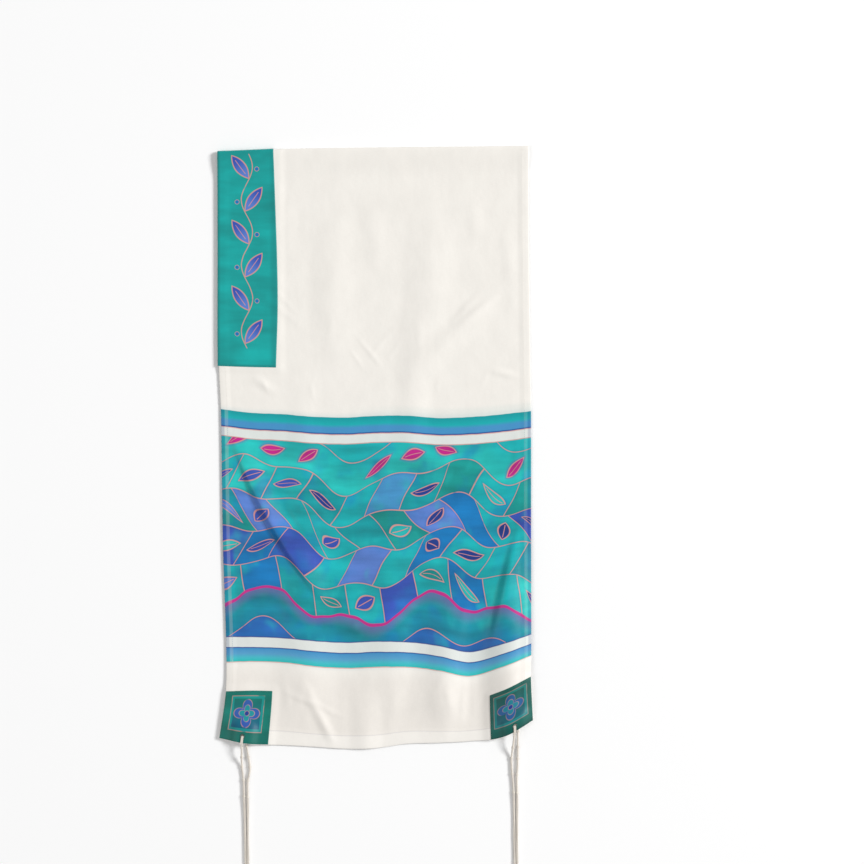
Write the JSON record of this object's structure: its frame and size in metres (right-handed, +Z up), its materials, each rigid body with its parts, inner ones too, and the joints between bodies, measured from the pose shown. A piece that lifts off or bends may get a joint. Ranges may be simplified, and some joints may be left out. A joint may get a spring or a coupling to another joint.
{
  "type": "tallit prayer shawl",
  "caption": "Silk tallit prayer shawl folded once and laid flat, with a neckband over the fold, square corner patches and a knotted tassel at each corner.",
  "frame": {"origin": "middle of the bounding box, tassels included, on the surface that the shawl lies on", "axes": "+X to the right as seen from above, +Y from the hems towards the fold, +Z up from the surface"},
  "size_m": [0.5072, 1.2586, 0.0201],
  "materials": {
    "white_silk": "white silk with painted stripes and panels, soft sheen",
    "teal_silk": "teal painted silk, soft sheen",
    "dark_teal_silk": "dark teal painted silk, soft sheen",
    "cream_wool": "undyed twisted wool, matte"
  },
  "bodies": {
    "root": {"cloth": "white_silk", "neckband": "teal_silk", "patch_front_left": "dark_teal_silk", "patch_front_right": "dark_teal_silk", "patch_back_left": "dark_teal_silk", "patch_back_right": "dark_teal_silk", "tassel_front_left": "cream_wool", "tassel_front_right": "cream_wool", "tassel_back_left": "cream_wool", "tassel_back_right": "cream_wool"}
  },
  "joints": []
}
